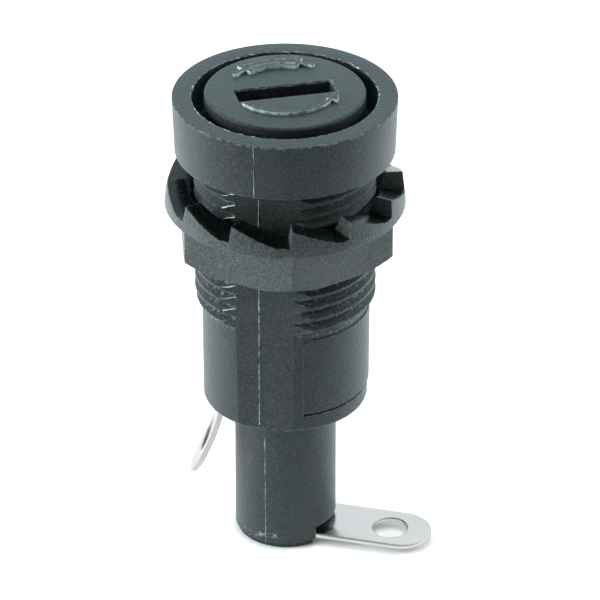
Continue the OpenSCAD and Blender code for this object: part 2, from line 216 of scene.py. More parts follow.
# Nut
nut_low, nut_high = box_mm("hex_nut")
NUT_TIP = nut_high.z
NUT_LOW = nut_low.z
CROWN_R = nut_high.x
NUT_AF = 14.3
NUT_BORE_R = 6.38
NUT_BEVEL_W = 0.85
NUT_BEVEL_H = 0.65
NUT_ANGLE = -11.6
NUT_EDGE = 0.07
CROWN_H = 1.9
CROWN_TAPER = 0.22
TOOTH_H = 1.2
TOOTH_COUNT = 12
TOOTH_RAMP = 0.73
TOOTH_RAKE = 8.0
SINK_REACH = 0.55
SINK_BELOW = 0.15
RAMP_STEPS = 8
LAND_STEPS = 4
SHADED_GLOSS_RISE = 0.3  # faces of the crown that rise more than this are glossier and darker: the darkness is painted shade
SHADED_GLOSS_ABOVE = 0.1

# Carrier
knob_low, knob_high = box_mm("carrier_knob")
KNOB_R = knob_high.x
KNOB_TOP = knob_high.z
KNOB_EDGE = 0.22
HEAD_LOW = 1.34
HEAD_EDGE = 0.12
SKIRT_EDGE = 0.15
SKIRT_R = 4.1
SKIRT_BORE_R = 3.09
SKIRT_LOW = knob_low.z
CORE_LOW = -1.8
RIVET_GRIP = 2.6
SLOT_LEN = 6.7
SLOT_W = 1.6
SLOT_DEPTH = 2.0
SLOT_ANGLE = 27.7
SLOT_CHAMFER = 0.1
LUG_R = 4.72
LUG_ANGLE = 20.0
LUG_TOP = -3.0
LUG_LOW = -4.1
LUG_EDGE = 0.1
MARK_H = 0.22
MARK_SINK = 0.1
MARK_EDGE = 0.04
MARK_CORNER = 0.05
MARK_W = 0.3
MARK_R = 3.45

# Clip, rivets and contacts under the carrier
clip_low, clip_high = box_mm("carrier_clip")
CLIP_R = clip_high.x
CLIP_BORE_R = 2.64
CLIP_TOP = clip_high.z
CLIP_LOW = clip_low.z
CLIP_BASE = 0.3
CLIP_LIP = 0.15
CLIP_SLIT = 0.8
CLIP_SLIT_TOP = -2.4
CLIP_ROUND = 0.2
CLIP_EDGE = 0.08
CLIP_LIP_EDGE = 0.05
RIVET_R = 0.75
RIVET_HEAD_R = 1.4
RIVET_HEAD_T = 0.25
RIVET_DOME = 0.25
RIVET_DOME_R = 0.3
RIVET_TIP_EDGE = 0.12
RIVET_LOW = box_mm("base_rivet")[0].z
SEAT_R = 2.45
SEAT_TOP = -28.23
SEAT_T = 0.3
SEAT_EDGE = 0.08
plunger_low, plunger_high = box_mm("contact_plunger")
PLUNGER_R = plunger_high.x
PLUNGER_TOP = plunger_high.z
PLUNGER_LOW = plunger_low.z
PLUNGER_FLANGE = 0.5
PLUNGER_EDGE = 0.1
DISH_R = 1.1
DISH_FLOOR_R = 0.9
DISH_DEPTH = 0.12
FLANGE_EDGE = 0.08
GUIDE_R = 1.5
GUIDE_ROUND = 0.2
GUIDE_FILLET = 0.06
SPRING_R = 2.1
SPRING_WIRE = 0.225
SPRING_TURNS = 5
SPRING_SIDES = 14
FREE_GAP = 0.02  # space left at the ends of the spring and of the clip's rivet

# Fuse
fuse_low = box_mm("fuse_cap_lower")[0]
fuse_high = box_mm("fuse_cap_upper")[1]
CAP_R = fuse_high.x
CAP_T = 0.22
CAP_LEN = 5.4
CAP_ROUND = 0.4
CAP_RIM_EDGE = 0.08
FUSE_LOW = fuse_low.z
FUSE_TOP = fuse_high.z
GLASS_R = 2.36
GLASS_BORE_R = 1.86
SOLDER_R = 1.84
SOLDER_H = 0.8
# Surface of a solder drop: radius and share of its height
SOLDER_FORM = ((SOLDER_R, 1.0), (SOLDER_R - 0.3, 0.86), (1.0, 0.72), (0.5, 0.74), (0.22, 0.95), (0, 1.0))
WIRE_R = 0.1
WIRE_SIDES = 10
WIRE_BOW = 0.12
WIRE_WAVES = 2.2
WIRE_PHASE = 0.6
WIRE_SKEW = 0.5
GLASS_EDGE = 0.15


# Mesh helpers

def spot(radius, angle, z):
    """Point at a radius, an angle in radians and a height."""
    return Vector((radius * cos(angle), radius * sin(angle), z))


def between(start, end, steps):
    """Evenly spaced values between two ends, without the ends."""
    return [start + (end - start) * i / steps for i in range(1, steps)]


def rounded(corners):
    """Points of a closed outline of (x, y, radius) corners, with each corner turned into an arc."""
    points = []
    for i, (x, y, radius) in enumerate(corners):
        here = Vector((x, y))
        if radius == 0:
            points.append(here)
            continue
        before = (Vector(corners[i - 1][:2]) - here).normalized()
        after = (Vector(corners[(i + 1) % len(corners)][:2]) - here).normalized()
        half = before.angle(after) / 2
        centre = here + (before + after).normalized() * radius / sin(half)
        start = here + before * radius / tan(half) - centre
        end = here + after * radius / tan(half) - centre
        first = atan2(start.y, start.x)
        turn = remainder(atan2(end.y, end.x) - first, tau)
        steps = max(2, ceil(abs(degrees(turn)) / FILLET_TURN))
        for step in range(steps + 1):
            angle = first + turn * step / steps
            points.append(centre + radius * Vector((cos(angle), sin(angle))))
    return points


def clean(obj, sharp=SHARP_TURN):
    """Welds doubled points, turns the faces outwards and draws the edges sharp that turn far enough."""
    mesh = bmesh.new()
    mesh.from_mesh(obj.data)
    bmesh.ops.remove_doubles(mesh, verts=mesh.verts, dist=WELD * MM)
    bmesh.ops.dissolve_degenerate(mesh, dist=SLIVER * MM, edges=mesh.edges)
    bmesh.ops.recalc_face_normals(mesh, faces=mesh.faces)
    for face in mesh.faces:
        face.smooth = True
    for edge in mesh.edges:
        edge.smooth = edge.calc_face_angle(0.0) < radians(sharp)
    mesh.to_mesh(obj.data)
    mesh.free()
    return obj


def add_object(name, data):
    """New object in the scene."""
    obj = bpy.data.objects.new(name, data)
    bpy.context.scene.collection.objects.link(obj)
    return obj


def solid(name, points, faces, sharp=SHARP_TURN):
    """Object from points in millimetres and faces."""
    mesh = bpy.data.meshes.new(name)
    mesh.from_pydata([tuple(Vector(p) * MM) for p in points], [], faces)
    return clean(add_object(name, mesh), sharp)


def loft_faces(rows, columns, closed=True):
    """Faces between neighbouring rings, and then from the last to the first or else across both ends."""
    faces = []
    for row in range(rows if closed else rows - 1):
        here = row * columns
        there = (row + 1) % rows * columns
        for column in range(columns):
            beside = (column + 1) % columns
            faces.append((here + column, here + beside, there + beside, there + column))
    if not closed:
        last = (rows - 1) * columns
        faces.append(tuple(range(columns)))
        faces.append(tuple(range(last, last + columns)))
    return faces


def revolve(name, corners, columns=ROUND_COLUMNS):
    """Turned solid from a closed outline of (radius, height, corner radius) corners."""
    outline = rounded(corners)
    angles = [tau * i / columns for i in range(columns)]
    points = [spot(r, a, z) for r, z in outline for a in angles]
    return solid(name, points, loft_faces(len(outline), columns))


def prism(name, outline, low, high):
    """Upright prism over a closed outline of (x, y) points."""
    points = [(x, y, z) for z in (low, high) for x, y in outline]
    return solid(name, points, loft_faces(2, len(outline), closed=False))


def arc(x, y, radius, start, end):
    """Points of an arc between two angles in degrees."""
    steps = max(2, ceil(abs(end - start) / ARC_TURN))
    angles = [radians(start + (end - start) * i / steps) for i in range(steps + 1)]
    return [(x + radius * cos(a), y + radius * sin(a)) for a in angles]


def sector_outline(inner, outer, middle, width):
    """Outline of a ring's sector between two radii, so many degrees wide about an angle in degrees."""
    start, end = middle - width / 2, middle + width / 2
    return arc(0, 0, outer, start, end) + arc(0, 0, inner, end, start)


def rectangle(x0, x1, half):
    """Outline of a rectangle between two x, with half its width on each side of the x axis."""
    return [(x0, -half), (x1, -half), (x1, half), (x0, half)]


def circle(x, y, radius):
    """Outline of a circle."""
    return arc(x, y, radius, 0, 360)[:-1]


def turned(outline, angle):
    """Outline turned about the origin by an angle in degrees."""
    c, s = cos(radians(angle)), sin(radians(angle))
    return [(c * x - s * y, s * x + c * y) for x, y in outline]


def evaluated(obj):
    """New mesh of the object as its modifiers or its curve make it."""
    graph = bpy.context.evaluated_depsgraph_get()
    return bpy.data.meshes.new_from_object(obj.evaluated_get(graph), depsgraph=graph)


def apply_modifiers(obj):
    """Makes the object's modifiers part of its mesh."""
    mesh = evaluated(obj)
    obj.modifiers.clear()
    obj.data = mesh


def combine(obj, operation, *tools):
    """Cuts other solids out of the object, or joins them to it, and removes them."""
    for tool in tools:
        modifier = obj.modifiers.new(tool.name, "BOOLEAN")
        modifier.operation = operation
        modifier.solver = "EXACT"
        modifier.object = tool
    apply_modifiers(obj)
    for tool in tools:
        bpy.data.objects.remove(tool)
    return clean(obj)


def soften(obj, width):
    """Rounds the object's sharp edges."""
    modifier = obj.modifiers.new("soften", "BEVEL")
    modifier.width = width * MM
    modifier.segments = 2
    modifier.limit_method = "ANGLE"
    modifier.angle_limit = radians(BEVEL_TURN)
    apply_modifiers(obj)
    return clean(obj, SOFT_TURN)


def sweep(name, path, radius, sides):
    """Round wire along a path of points, with flat ends."""
    points = []
    for i, here in enumerate(path):
        along = (path[min(i + 1, len(path) - 1)] - path[max(i - 1, 0)]).normalized()
        across = along.orthogonal().normalized()
        if abs(along.z) < STEEP:
            across = along.cross(UP).normalized()
        other = along.cross(across)
        for side in range(sides):
            angle = tau * side / sides
            points.append(here + radius * (cos(angle) * across + sin(angle) * other))
    return solid(name, points, loft_faces(len(path), sides, closed=False), SOFT_TURN)


def plate(name, outlines, thickness, edge):
    """Flat plate about the plane z = 0 with rounded edges, from its outline and those of its holes."""
    curve = bpy.data.curves.new(name, "CURVE")
    curve.dimensions = "2D"
    curve.fill_mode = "BOTH"
    curve.extrude = thickness / 2 - edge
    curve.bevel_depth = edge
    curve.bevel_resolution = 2
    curve.offset = -edge
    for outline in outlines:
        spline = curve.splines.new("POLY")
        spline.points.add(len(outline) - 1)
        spline.use_cyclic_u = True
        for point, (x, y) in zip(spline.points, outline):
            point.co = (x, y, 0.0, 1.0)
    drawn = add_object(name, curve)
    mesh = evaluated(drawn)
    points = [v.co.copy() for v in mesh.vertices]
    faces = [tuple(f.vertices) for f in mesh.polygons]
    bpy.data.objects.remove(drawn)
    made = solid(name, points, faces, SOFT_TURN)
    for face in made.data.polygons:
        face.material_index = 0 if abs(face.normal.z) > LEVEL else 1
    return made


def bend(obj, cuts, place):
    """Divides a plate across at some lengths, so that it can curve there, and moves each of its points."""
    mesh = bmesh.new()
    mesh.from_mesh(obj.data)
    for cut in cuts:
        everything = mesh.verts[:] + mesh.edges[:] + mesh.faces[:]
        bmesh.ops.bisect_plane(
            mesh, geom=everything, dist=SLIVER * MM, plane_co=(cut * MM, 0, 0), plane_no=(1, 0, 0)
        )
    for vert in mesh.verts:
        vert.co = Vector(place(*(vert.co / MM))) * MM
    mesh.to_mesh(obj.data)
    mesh.free()
    return clean(obj, SOFT_TURN)


def dress(obj, body, slot, material, *nodes, edge=None):
    """Puts a piece on its CAD body, with its materials, in place of the CAD nodes that it stands for."""
    obj.data.materials.append(material)
    if edge:
        obj.data.materials.append(edge)
    else:
        obj.data.polygons.foreach_set("material_index", [0] * len(obj.data.polygons))
    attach(obj, body)
    if nodes:
        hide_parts(*nodes)
    return obj


# Materials

# Tones that several materials share
GLOSS_TINT = (0.74, 0.96, 1.0)
SHEEN_TINT = (0.25, 0.86, 0.97)
METAL_TINT = (0.78, 0.79, 0.80)
DUST = (0.17, 0.185, 0.185)
WORN = (0.42, 0.46, 0.47)


class Nodes:
    """A node tree, with short calls for the nodes that materials and the world share."""

    def __init__(self, tree):
        self.tree = tree

    def node(self, kind, inputs=(), **settings):
        """New node with its settings, and with what its inputs are fed."""
        made = self.tree.nodes.new("ShaderNode" + kind)
        for name, value in settings.items():
            setattr(made, name, value)
        for name, value in dict(inputs).items():
            self.feed(value, made.inputs[name])
        return made

    def feed(self, value, socket):
        """Links an output to a socket, or sets a constant on it. Colours are given without their alpha."""
        if isinstance(value, bpy.types.NodeSocket):
            self.tree.links.new(value, socket)
        else:
            socket.default_value = (*value, 1.0) if socket.type == "RGBA" else value

    def math(self, operation, first, second):
        return self.node("Math", {0: first, 1: second}, operation=operation).outputs["Value"]

    def times(self, first, second):
        return self.math("MULTIPLY", first, second)

    def vector(self, operation, first, second):
        made = self.node("VectorMath", {0: first, 1: second}, operation=operation)
        return made.outputs["Vector" if operation == "MULTIPLY" else "Value"]

    def ramp(self, value, low, high, start=0.0, end=1.0, kind="SMOOTHSTEP"):
        """Goes from start to end as the value goes from low to high."""
        inputs = {"Value": value, "From Min": low, "From Max": high, "To Min": start, "To Max": end}
        return self.node("MapRange", inputs, interpolation_type=kind).outputs["Result"]

    def blend(self, share, first, second):
        """The first value where the share is nought, and the second where it is one."""
        return self.ramp(share, 0.0, 1.0, first, second, "LINEAR")

    def seen(self, *rays):
        """One on rays of some kinds, nought on the rest."""
        path = self.node("LightPath")
        total = path.outputs[rays[0]]
        for name in rays[1:]:
            total = self.math("MAXIMUM", total, path.outputs[name])
        return total


class Shader(Nodes):
    """One procedural material, with its place on the piece in millimetres."""

    def __init__(self, name, **constants):
        self.material = bpy.data.materials.new(name)
        self.material.use_nodes = True
        super().__init__(self.material.node_tree)
        self.set(**constants)
        metres = self.node("TexCoord").outputs["Object"]
        self.place = self.vector("MULTIPLY", metres, (1 / MM,) * 3)

    def set(self, **sockets):
        surface = self.tree.nodes["Principled BSDF"]
        for socket, value in sockets.items():
            self.feed(value, surface.inputs[socket.replace("_", " ")])

    def noise(self, scale, detail=2.0, stretch=(1, 1, 1)):
        """Noise with so many bumps to the millimetre."""
        place = self.vector("MULTIPLY", self.place, stretch)
        return self.node("TexNoise", {"Vector": place, "Scale": scale, "Detail": detail}).outputs["Fac"]

    def mix(self, share, first, second):
        """Mix of two colours."""
        made = self.node("Mix", {"Factor": share, "A": first, "B": second}, data_type="RGBA")
        return made.outputs["Result"]

    def edges(self, reach):
        """One along the edges of the mesh, and nought where it is smooth."""
        bevel = self.node("Bevel", {"Radius": reach * MM}, samples=6)
        geometry = self.node("NewGeometry")
        facing = self.vector("DOT_PRODUCT", bevel.outputs["Normal"], geometry.outputs["Normal"])
        return self.ramp(facing, 0.995, 0.90)

    def part(self, axis):
        """The place along one axis."""
        return self.node("SeparateXYZ", {0: self.place}).outputs[axis]

    def valley_dust(self, outer, inner, flat, low, top=-6.5):
        """Flecks between two radii of a thread, off its flats and between two heights."""
        flat_fade, top_fade, low_fade = 0.12, 0.6, 0.4
        level = self.vector("MULTIPLY", self.place, (1, 1, 0))
        across = self.math("ABSOLUTE", self.part("Y"), 0.0)
        height = self.part("Z")
        limits = (
            (self.vector("DISTANCE", level, (0, 0, 0)), outer, inner),
            (across, flat, flat - flat_fade),
            (height, top, top - top_fade),
            (height, low, low + low_fade),
        )
        dust = self.ramp(self.noise(4.2, 3.0), 0.54, 0.66)
        for value, start, end in limits:
            dust = self.times(dust, self.ramp(value, start, end))
        return dust

    def bump(self, height, strength, distance):
        inputs = {"Strength": strength, "Distance": distance * MM, "Height": height}
        self.set(Normal=self.node("Bump", inputs).outputs["Normal"])


def moulded(name, dark, light, wear, rough=0.35, sheen=0.16, relief=0.08, speckle=2.9, thread=None):
    """Black moulding: mottled satin skin with a fine grain, dust, and pale flecks along its upper edges."""
    shader = Shader(
        name, Specular_IOR_Level=0.6, Specular_Tint=GLOSS_TINT,
        Sheen_Weight=sheen, Sheen_Roughness=0.36, Sheen_Tint=SHEEN_TINT,
    )
    mottle = shader.noise(0.5, 4.0)
    grain = shader.noise(7.5, 3.0)
    flecks = shader.ramp(shader.noise(3.4, 3.0), 0.46, 0.60)
    worn = shader.times(shader.edges(0.18), flecks)
    worn = shader.times(worn, shader.ramp(shader.part("Z"), -1.0, 2.0, 0.4 * wear, wear))
    dust = shader.times(shader.ramp(shader.noise(5.0, 2.0), 0.66, 0.74), 0.35)
    if thread is not None:
        dust = shader.math("MAXIMUM", dust, shader.valley_dust(**thread))
    skin = shader.mix(shader.ramp(mottle, 0.3, 0.7), dark, light)
    skin = shader.mix(shader.ramp(grain, 0.4, 0.7, 0.0, 0.8), skin, tuple(speckle * c for c in light))
    skin = shader.mix(dust, skin, DUST)
    shader.set(
        Base_Color=shader.mix(worn, skin, WORN),
        Roughness=shader.ramp(grain, 0.25, 0.75, rough - 0.06, rough + 0.08),
    )
    shader.bump(grain, 0.6, relief)
    return shader.material


def flash(name, dark, pale):
    """Thin broken flash on a moulding, paler than its skin."""
    shader = Shader(name, Specular_IOR_Level=0.6)
    breaks = shader.ramp(shader.noise(2.2, 4.0), 0.36, 0.56)
    shader.set(
        Base_Color=shader.mix(breaks, dark, pale),
        Roughness=shader.ramp(breaks, 0.0, 1.0, 0.5, 0.34),
    )
    return shader.material


def metal(name, pale, dull, rough, stretch=(1, 1, 1), spread=0.08, relief=0.05):
    """Plated metal with a faint directional haze."""
    shader = Shader(name, Metallic=1.0, Specular_Tint=METAL_TINT)
    haze = shader.noise(0.6, 3.0, stretch)
    fine = shader.noise(14.0, 2.0, stretch)
    shader.set(
        Base_Color=shader.mix(shader.ramp(haze, 0.25, 0.75), pale, dull),
        Roughness=shader.ramp(fine, 0.25, 0.75, rough - spread / 2, rough + spread / 2),
    )
    shader.bump(fine, relief, 0.01)
    return shader.material


def clear_glass(name):
    """Drawn glass tube with faint streaks along it."""
    shader = Shader(name, Transmission_Weight=1.0, IOR=1.5)
    streaks = shader.noise(3.0, 2.0, (1, 1, 0.08))
    shader.set(
        Base_Color=shader.mix(shader.ramp(streaks, 0.3, 0.7), (0.74, 0.86, 0.85), (0.82, 0.92, 0.91)),
        Roughness=shader.ramp(streaks, 0.3, 0.7, 0.01, 0.03),
    )
    return shader.material


body_black = moulded(
    "body_black", (0.0138, 0.0135, 0.0132), (0.0194, 0.0190, 0.0186), 0.95,
    thread={
        "outer": THREAD_R - 0.12, "inner": BARREL_R + 0.1,
        "flat": FLAT - 0.02, "low": THREAD_LOW - 0.3,
    },
)
nut_black = moulded("nut_black", (0.0330, 0.0330, 0.0325), (0.0430, 0.0430, 0.0423), 0.7)
# Glossy near-black moulding for the crown's upward faces: the gloss is real, the near-black tone is painted
# shade from the bezel above
nut_gloss_painted_shade = moulded(
    "nut_gloss_painted_shade", (0.0035, 0.004, 0.004), (0.005, 0.0055, 0.0055), 0.6,
    rough=0.24, sheen=0.0, relief=0.02, speckle=1.2,
)
knob_black = moulded("knob_black", (0.0120, 0.0118, 0.0116), (0.0168, 0.0165, 0.0162), 0.8)
seam_flash = flash("seam_flash", (0.14, 0.155, 0.155), (0.50, 0.54, 0.53))
# Pale flash for the thread ends: real ridges, with a pale colour that paints the glints of light on them
flash_and_glint = flash("flash_and_glint", (0.16, 0.18, 0.18), (0.56, 0.60, 0.60))
scar_flash = flash("scar_flash", (0.07, 0.08, 0.08), (0.27, 0.30, 0.30))
# Pale sides of the knob's raised marks: a painted highlight where their sides catch the light
mark_side_highlight = flash("mark_side_highlight", (0.20, 0.22, 0.22), (0.44, 0.48, 0.48))
bright_tin = metal("bright_tin", (0.78, 0.77, 0.755), (0.74, 0.735, 0.72), 0.24, (0.2, 1, 1))
cut_tin = metal("cut_tin", (0.76, 0.75, 0.735), (0.63, 0.62, 0.61), 0.34, (1, 1, 0.2), relief=0.15)
nickel = metal("nickel", (0.63, 0.61, 0.58), (0.54, 0.53, 0.50), 0.18)
turned_brass = metal("turned_brass", (0.83, 0.68, 0.36), (0.74, 0.59, 0.30), 0.24, (1, 1, 6))
spring_wire = metal("spring_wire", (0.58, 0.59, 0.60), (0.48, 0.49, 0.50), 0.30)
element_wire = metal("element_wire", (0.80, 0.58, 0.40), (0.70, 0.48, 0.32), 0.30)
dull_solder = metal("dull_solder", (0.66, 0.67, 0.68), (0.54, 0.55, 0.57), 0.45, spread=0.2)
glass = clear_glass("glass")


# Holder body: rings of points from the recess over the bezel, down the barrel and back up the bore

def round_ring(radius, height):
    """Ring of evenly spaced points."""
    first = -pi / 2 * ARC_STEPS / (ARC_STEPS + FLAT_STEPS)
    angles = first + np.arange(COLUMNS) * tau / COLUMNS
    return np.column_stack([radius * np.cos(angles), radius * np.sin(angles), np.full(COLUMNS, height)])


def flatted_ring(radius, height):
    """Ring that the two flats cut: a round side, a flat, a round side, a flat. Radius may vary along it."""
    radius = np.broadcast_to(np.asarray(radius, float), COLUMNS)
    edge = np.arcsin(FLAT / radius)
    half = COLUMNS // 2
    swing = np.linspace(-1, 1, ARC_STEPS, endpoint=False)
    run = np.linspace(1, -1, FLAT_STEPS, endpoint=False)
    ring = np.empty((COLUMNS, 3))
    for start, sign in ((0, 1), (half, -1)):
        side = slice(start, start + ARC_STEPS)
        flat = slice(start + ARC_STEPS, start + half)
        angles = edge[side] * swing
        ring[side, 0] = sign * radius[side] * np.cos(angles)
        ring[side, 1] = sign * radius[side] * np.sin(angles)
        ring[flat, 0] = sign * radius[flat] * np.cos(edge[flat]) * run
        ring[flat, 1] = sign * FLAT
    ring[:, 2] = height
    return ring


def thread_rings():
    """Rings along the thread's helix from the bezel to its run-out, where they gather on one height."""
    depth = THREAD_R - BARREL_R
    top = THREAD_PHASE * THREAD_PITCH
    turns = ceil((top - THREAD_LOW) / THREAD_PITCH + 1)
    rings = []
    for turn in range(turns):
        for share, rise in THREAD_FORM:
            full = flatted_ring(BARREL_R + rise * depth, 0.0)
            angle = np.unwrap(np.arctan2(full[:, 1], full[:, 0]))
            height = top + THREAD_PITCH * (angle / tau - turn - share)
            height = np.clip(height, THREAD_LOW, 0.0)
            fade = np.minimum(-height / THREAD_LEAD_IN, (height - THREAD_LOW) / THREAD_RUNOUT)
            rings.append(flatted_ring(BARREL_R + rise * depth * np.clip(fade, 0, 1), height))
    return rings


def holder_skin():
    """The moulding's closed skin, before its grooves and slots are cut."""
    upper = rounded([
        (CARRIER_BORE_R, BEZEL_FLOOR, INNER_EDGE), (RECESS_R, BEZEL_FLOOR, INNER_EDGE),
        (RECESS_R, BEZEL_H, BEZEL_EDGE), (BEZEL_R, BEZEL_H, BEZEL_EDGE),
        (BEZEL_R - BEZEL_DRAFT, 0, BEZEL_EDGE), (BARREL_R, 0, 0),
    ])[:-1]
    shoulder = rounded([
        (BARREL_R, THREAD_LOW, 0),
        (BARREL_R - BARREL_DRAFT, BARREL_LOW, BARREL_EDGE),
        (TUBE_R, BARREL_LOW, 0),
    ])[1:-1]
    foot_r = TUBE_R - FOOT_STEP
    lower = rounded([
        (TUBE_R, BARREL_LOW, SHOULDER_FILLET), (TUBE_R, TUBE_LOW + FOOT_H, FOOT_STEP_EDGE),
        (foot_r, TUBE_LOW + FOOT_H, 0), (foot_r, TUBE_LOW, FOOT_EDGE),
        (POCKET_R, TUBE_LOW, POCKET_EDGE), (POCKET_R, FLOOR_LOW, 0),
        (RIVET_HOLE_R, FLOOR_LOW, 0), (RIVET_HOLE_R, FLOOR_TOP, 0), (FUSE_BORE_R, FLOOR_TOP, 0),
        (FUSE_BORE_R, CARRIER_BORE_LOW, INNER_EDGE), (CARRIER_BORE_R, CARRIER_BORE_LOW, 0),
    ])
    rings = [round_ring(r, z) for r, z in upper]
    first = len(rings)
    rings += thread_rings()
    last = len(rings) - 1
    rings += [flatted_ring(r, z) for r, z in shoulder]
    rings += [round_ring(r, z) for r, z in lower]
    faces = []
    for row in range(len(rings)):
        below = (row + 1) % len(rings)
        for column in range(COLUMNS):
            beside = (column + 1) % COLUMNS
            up, down = row, below
            if beside == 0 and first <= row < last:
                # Where the helix closes on itself, a ring meets the one a turn above it
                up = max(row - len(THREAD_FORM), first)
                down = max(below - len(THREAD_FORM), first)
            face = (
                row * COLUMNS + column, up * COLUMNS + beside,
                down * COLUMNS + beside, below * COLUMNS + column,
            )
            faces.append(tuple(dict.fromkeys(face)))
    return solid("holder_shell", np.concatenate(rings), [f for f in faces if len(f) > 2])


def holder_shell():
    """Moulded body with its bayonet grooves, the slots for its tags and the groove under its panel."""
    inner = CARRIER_BORE_R - CUT_PAST
    cutters = []
    for side in (0, 180):
        lock = side - (LOCK_TURN + TRACK_TURN) / 2
        entry = sector_outline(inner, GROOVE_R, side, GROOVE_ANGLE)
        track = sector_outline(inner, GROOVE_R - TRACK_STEP, lock, GROOVE_ANGLE + LOCK_TURN - TRACK_TURN)
        cutters.append(prism("entry", entry, GROOVE_LOW, BEZEL_FLOOR + CUT_PAST))
        cutters.append(prism("track", track, GROOVE_LOW + TRACK_STEP, GROOVE_TOP))
    slot_half = TAG_T / 2 + TAG_GAP
    tag_half = TAG_W / 2 + TAG_GAP
    slot = rectangle(-SIDE_X - slot_half, -SIDE_X + slot_half, tag_half)
    cutters.append(prism("side_slot", turned(slot, SIDE_ANGLE), BARREL_LOW - CUT_PAST, SIDE_SLOT_TOP))
    window = rectangle(-SIDE_X, -TONGUE_X, WINDOW_W / 2)
    cutters.append(prism("side_window", turned(window, SIDE_ANGLE), WINDOW_LOW, TONGUE_TOUCH))
    notch = rectangle(POCKET_R - CUT_PAST, 2 * TUBE_R, tag_half)
    cutters.append(prism("notch", notch, TUBE_LOW - CUT_PAST, NOTCH_TOP))
    reach = 2 * (PANEL_ANGLE - GROOVE_INSET)
    groove = sector_outline(BARREL_R - PANEL_GROOVE, BARREL_R + CUT_PAST, 0, reach)
    cutters.append(prism("panel_groove", groove, PANEL_LOW - PANEL_GROOVE, PANEL_LOW + GROOVE_LAP))
    return combine(holder_skin(), "DIFFERENCE", *cutters)


def barrel_radius(z):
    """Radius of the plain barrel, which narrows downwards."""
    return BARREL_R - BARREL_DRAFT * (THREAD_LOW - z) / (THREAD_LOW - BARREL_LOW)


def on_round(radius, angle, z):
    """Point on a round wall at an angle in degrees, and the direction out of the wall."""
    turn = radians(angle)
    return spot(radius, turn, z), spot(1.0, turn, 0)


def label_panel():
    """Bare raised panel that wraps the barrel's side over the base tag."""
    half = radians(PANEL_ANGLE) * BARREL_R
    outline = rounded([
        (x, z, PANEL_CORNER)
        for x, z in ((-half, PANEL_LOW), (half, PANEL_LOW), (half, PANEL_TOP), (-half, PANEL_TOP))
    ])

    def place(s, z, w):
        return spot(barrel_radius(z) + w + (PANEL_H - PANEL_SINK) / 2, s / BARREL_R, z)

    panel = plate("label_panel", [outline], PANEL_H + PANEL_SINK, PANEL_EDGE)
    return bend(panel, between(-half, half, PANEL_STEPS), place)


def ridge(stations, seed, level, pace=0.9):
    """Points and faces of a broken ridge of flash along stations of place and direction.

    Level is the share of its height that it keeps on average, and pace the breaks to the millimetre.
    """
    spine = []
    for (start, out), (end, out_after) in zip(stations, stations[1:]):
        steps = max(1, round((end - start).length / SEAM_STEP))
        for step in range(steps):
            share = step / steps
            spine.append((start.lerp(end, share), out.lerp(out_after, share).normalized()))
    spine.append(stations[-1])

    def swing(i, bumps, row):
        return noise.noise(Vector((seed, bumps * i * SEAM_STEP, row)))

    points = []
    height_swing, width_swing, wander = SEAM_SWINGS
    width_pace, wander_pace = SEAM_PACES
    for i, (here, out) in enumerate(spine):
        along = (spine[min(i + 1, len(spine) - 1)][0] - spine[max(i - 1, 0)][0]).normalized()
        across = along.cross(out)
        # Height, width and line each follow a row of noise of their own
        rise = SEAM_H * (level + height_swing * swing(i, pace, 0))
        half = SEAM_W / 2 * (1.0 + width_swing * swing(i, width_pace, 5))
        middle = here + across * wander * swing(i, wander_pace, 9)
        points.append(middle - across * half - out * SEAM_SINK)
        points.append(middle + out * rise)
        points.append(middle + across * half - out * SEAM_SINK)
    return points, loft_faces(len(spine), 3, closed=False)


def gather(name, shells, sharp):
    """One piece from several closed shells of points and faces."""
    points, faces = [], []
    for shell_points, shell_faces in shells:
        faces += [tuple(len(points) + corner for corner in face) for face in shell_faces]
        points += shell_points
    return solid(name, points, faces, sharp)


def seam(name, *ridge_values):
    """Ridge that the mould's parting line leaves."""
    return gather(name, [ridge(*ridge_values)], FLASH_TURN)


def thread_flash_glints(name, side, seed):
    """Flash ridges along the upper flank of each thread, where one end of a flat cuts it; their pale colour
    paints a glint there.
    """
    out = Vector((0, side, 0))
    edge = degrees(asin(FLAT / THREAD_R))
    angle = edge if side > 0 else 180 + edge
    radii = (THREAD_R - FLASH_INSET, BARREL_R)
    reach = [side * sqrt(r * r - FLAT * FLAT) for r in radii]
    shells = []
    for turn in range(round(-THREAD_LOW / THREAD_PITCH)):
        crest = THREAD_PITCH * (angle / 360 - turn + THREAD_PHASE - 0.5)
        if not THREAD_LOW + THREAD_RUNOUT < crest < -THREAD_LEAD_IN:
            continue
        ends = [(Vector((x, side * FLAT, crest + lift)), out) for x, lift in zip(reach, FLASH_LIFTS)]
        shells.append(ridge(ends, seed + turn, FLASH_LEVEL))
    return gather(name, shells, FLASH_TURN)


def rim_flash(name, radius, seed):
    """Flash along the upper edge of the bezel's recess."""
    stations = [(on_round(radius, 360 * i / RIM_STEPS, BEZEL_H)[0], UP) for i in range(RIM_STEPS)]
    return seam(name, stations, seed, RIM_LEVEL, RIM_PACE)


